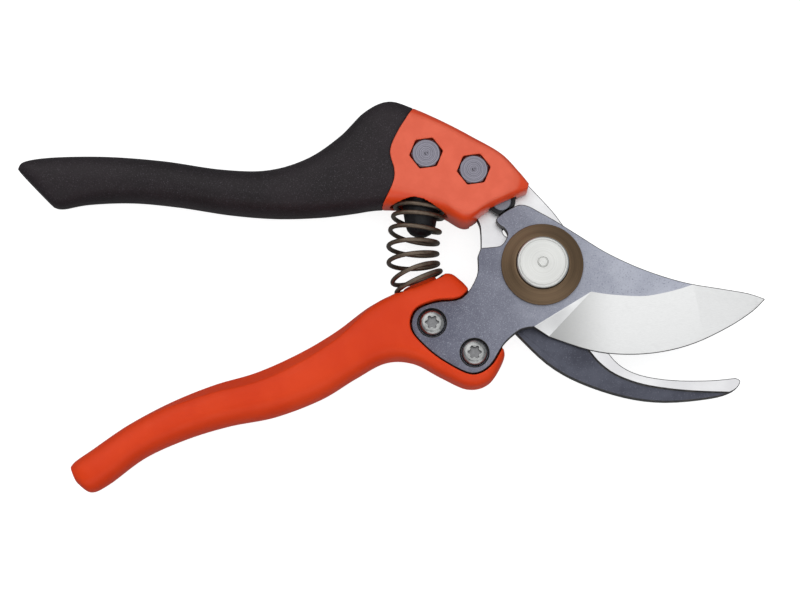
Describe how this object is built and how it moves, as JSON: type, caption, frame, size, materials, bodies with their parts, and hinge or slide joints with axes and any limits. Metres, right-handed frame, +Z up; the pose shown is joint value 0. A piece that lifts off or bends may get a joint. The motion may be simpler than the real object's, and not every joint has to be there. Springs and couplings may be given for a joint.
{
  "type": "pruning shears",
  "caption": "Bypass pruning shears with a curved cutting blade, hooked counter blade, return spring, safety latch, soft upper grip and smooth orange lower handle, lying open.",
  "frame": {"origin": "centre of the open tool's bounding box, on the plane that the shears lie on", "axes": "+X from the handles towards the blade tips, +Y from the lower handle towards the upper handle, +Z up through the shears' thickness, from the counter blade's back to the cutting blade's face"},
  "size_m": [0.2096, 0.1102, 0.0192],
  "materials": {
    "forged_steel": "dark phosphated forging with a ground bright land",
    "orange_composite": "satin moulded composite",
    "grip_rubber": "finely pebbled elastomer",
    "dark_fastener_steel": "turned and oiled",
    "bumper_rubber": "smooth",
    "spring_wire": "drawn wire with a brown oxide",
    "black_plastic": "smooth",
    "axle_steel": "oxidised grey",
    "washer_steel": "plain",
    "bright_nut": "bright turned face",
    "bronze_disc": "dull brown bronze",
    "bush_bronze": "sintered bronze",
    "blade_steel": "blue-grey phosphated with a polished bevel",
    "orange_lacquer": "smooth satin gloss",
    "zinc_screw": "zinc plated"
  },
  "bodies": {
    "hook_side": {"counter_blade": "forged_steel", "upper_handle": "orange_composite", "soft_grip": "grip_rubber", "tang_bolts": "dark_fastener_steel", "tang_nuts": "dark_fastener_steel", "spring_bumper": "bumper_rubber", "coil_spring": "spring_wire", "stop_sleeve": "black_plastic", "lock_axle": "axle_steel", "lock_clip": "washer_steel", "pivot_bolt": "washer_steel", "pivot_nut": "bright_nut", "front_disc": "bronze_disc", "disc_spring": "washer_steel", "rear_washer": "washer_steel"},
    "blade_side": {"blade": "blade_steel", "lower_handle": "orange_lacquer", "blade_screws": "zinc_screw", "screw_inserts": "bush_bronze", "pivot_bush": "bush_bronze"},
    "latch": {"lock_lever": "black_plastic"}
  },
  "joints": [
    {"name": "pivot", "type": "hinge", "parent": "hook_side", "child": "blade_side", "pos_m": [0.0423, 0.00805, 0.0108], "axis": [0, 0, -1], "range_deg": [0, 22.5], "stiffness_Nm_per_rad": 1.2, "springref_deg": -17.19, "deforming": ["coil_spring"]},
    {"name": "latch_pivot", "type": "hinge", "parent": "hook_side", "child": "latch", "pos_m": [0.0311, 0.02635, 0.0043], "axis": [0, 0, -1], "range_deg": [0, 28]}
  ]
}
